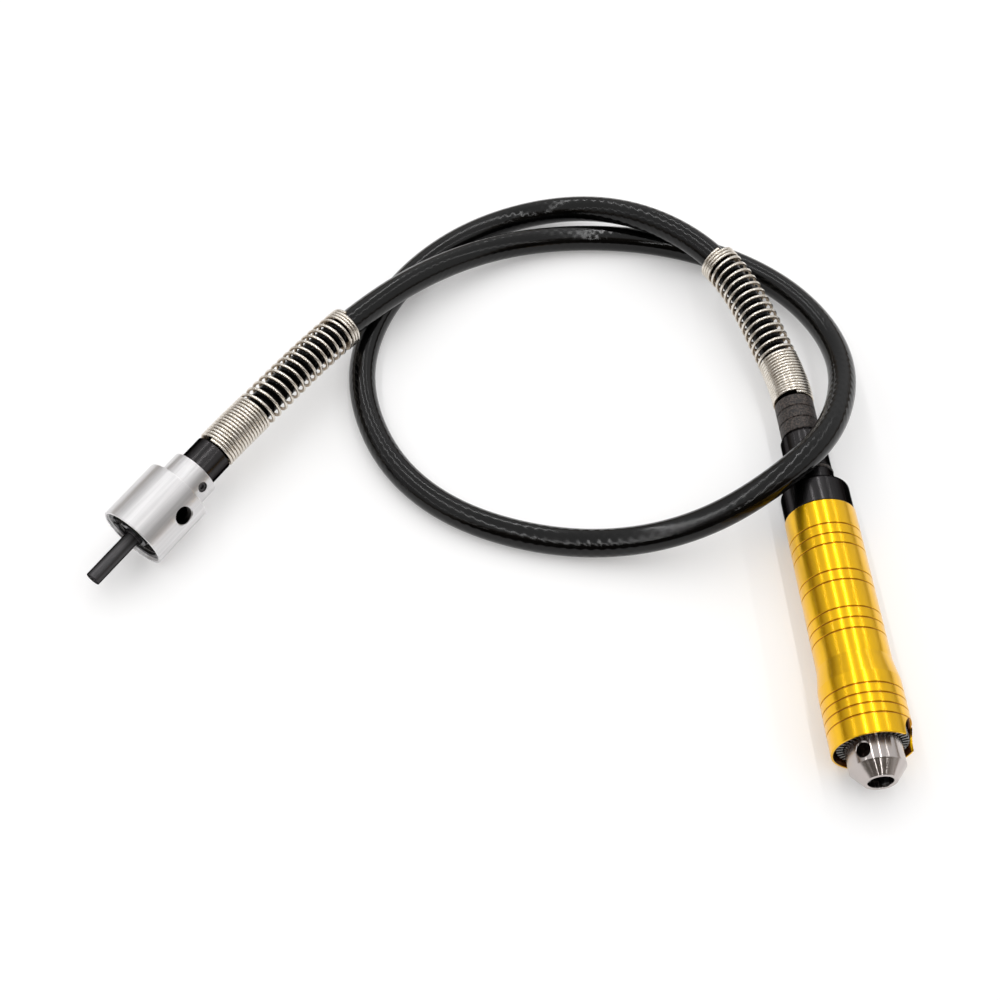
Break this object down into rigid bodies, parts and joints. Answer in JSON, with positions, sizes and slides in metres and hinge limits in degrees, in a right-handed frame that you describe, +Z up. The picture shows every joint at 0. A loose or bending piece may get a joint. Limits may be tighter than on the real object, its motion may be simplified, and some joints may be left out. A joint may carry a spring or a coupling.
{
  "type": "flexible drive shaft with chuck handpiece",
  "caption": "Drill-driven flexible shaft: a round shank in a bearing cup turns a core inside a black hose, which spins the keyed chuck of a gold grooved handpiece.",
  "frame": {"origin": "on the floor under the middle of the box around the coupling, springs and handpiece, leaving out the hose and its core", "axes": "+Z up from the floor; -Y along the handpiece from its rear to the chuck's nose; +X from the coupling across to the handpiece"},
  "size_m": [0.3087, 0.2985, 0.0356],
  "materials": {
    "gold": "gloss anodised",
    "aluminium": "turned satin",
    "steel": "ground satin",
    "black_oxide": "satin black oxide",
    "black_plastic": "gloss",
    "black_rubber": "matte",
    "vinyl": "gloss",
    "nickel": "polished"
  },
  "bodies": {
    "casing": {"coupling_cup": "aluminium", "coupling_bearing_outer_ring": "steel", "coupling_circlip": "steel", "ferrule_set_screw": "black_oxide", "drive_ferrule": "black_plastic", "drive_spring": "nickel", "hose": "vinyl", "flex_core": "steel", "handpiece_spring": "nickel", "ribbed_collar": "black_rubber", "hose_neck": "black_plastic", "neck_o_ring": "black_rubber", "rear_cap": "black_plastic", "handle_sleeve": "gold", "rear_bearing_outer_ring": "steel", "bearing_spacer": "aluminium", "front_bearing_outer_ring": "steel"},
    "drive_shaft": {"drive_shank": "black_oxide", "shank_set_screw": "black_oxide", "shank_circlip": "steel", "coupling_bearing_inner_ring": "steel"},
    "coupling_cage": {"coupling_bearing_ball_cage": "steel"},
    "spindle": {"spindle": "steel", "spindle_set_screw": "black_oxide", "spindle_circlip": "steel", "rear_bearing_inner_ring": "steel", "front_bearing_inner_ring": "steel", "chuck_body": "steel"},
    "rear_cage": {"rear_bearing_ball_cage": "steel"},
    "front_cage": {"front_bearing_ball_cage": "steel"},
    "chuck_ring": {"chuck_ring": "steel", "chuck_nut": "steel"},
    "jaw_1": {"chuck_jaw_1": "steel"},
    "jaw_2": {"chuck_jaw_2": "steel"},
    "jaw_3": {"chuck_jaw_3": "steel"}
  },
  "joints": [
    {"name": "chuck_spin", "type": "hinge", "parent": "casing", "child": "spindle", "pos_m": [0.13337, -0.06389, 0.015], "axis": [0, -1, 0], "continuous": true},
    {"name": "drive_spin", "type": "hinge", "parent": "casing", "child": "drive_shaft", "pos_m": [-0.12825, 0.00055, 0.01455], "axis": [0.6459, 0.7563, 0.1037], "continuous": true},
    {"name": "coupling_cage_spin", "type": "hinge", "parent": "casing", "child": "coupling_cage", "pos_m": [-0.12812, 0.0007, 0.01457], "axis": [0.6459, 0.7563, 0.1037], "continuous": true},
    {"name": "rear_cage_spin", "type": "hinge", "parent": "casing", "child": "rear_cage", "pos_m": [0.13337, -0.03189, 0.015], "axis": [0, -1, 0], "continuous": true},
    {"name": "front_cage_spin", "type": "hinge", "parent": "casing", "child": "front_cage", "pos_m": [0.13337, -0.07959, 0.015], "axis": [0, -1, 0], "continuous": true},
    {"name": "chuck_ring_turn", "type": "hinge", "parent": "spindle", "child": "chuck_ring", "pos_m": [0.13337, -0.10889, 0.015], "axis": [0, 1, 0], "range_deg": [0, 2880]},
    {"name": "jaw_1_slide", "type": "slide", "parent": "spindle", "child": "jaw_1", "axis": [0.2536, -0.9668, 0.0311], "range_m": [0, 0.01121]},
    {"name": "jaw_2_slide", "type": "slide", "parent": "spindle", "child": "jaw_2", "axis": [-0.1538, -0.9668, 0.2041], "range_m": [0, 0.01121]},
    {"name": "jaw_3_slide", "type": "slide", "parent": "spindle", "child": "jaw_3", "axis": [-0.0998, -0.9668, -0.2352], "range_m": [0, 0.01121]}
  ],
  "couplings": [
    {"joint": "drive_spin", "follows": "chuck_spin", "ratio": 1},
    {"joint": "coupling_cage_spin", "follows": "chuck_spin", "ratio": 0.3834},
    {"joint": "rear_cage_spin", "follows": "chuck_spin", "ratio": 0.3922},
    {"joint": "front_cage_spin", "follows": "chuck_spin", "ratio": 0.3922},
    {"joint": "jaw_1_slide", "follows": "chuck_ring_turn", "m_per_rad": 0.00022282},
    {"joint": "jaw_2_slide", "follows": "chuck_ring_turn", "m_per_rad": 0.00022282},
    {"joint": "jaw_3_slide", "follows": "chuck_ring_turn", "m_per_rad": 0.00022282}
  ]
}
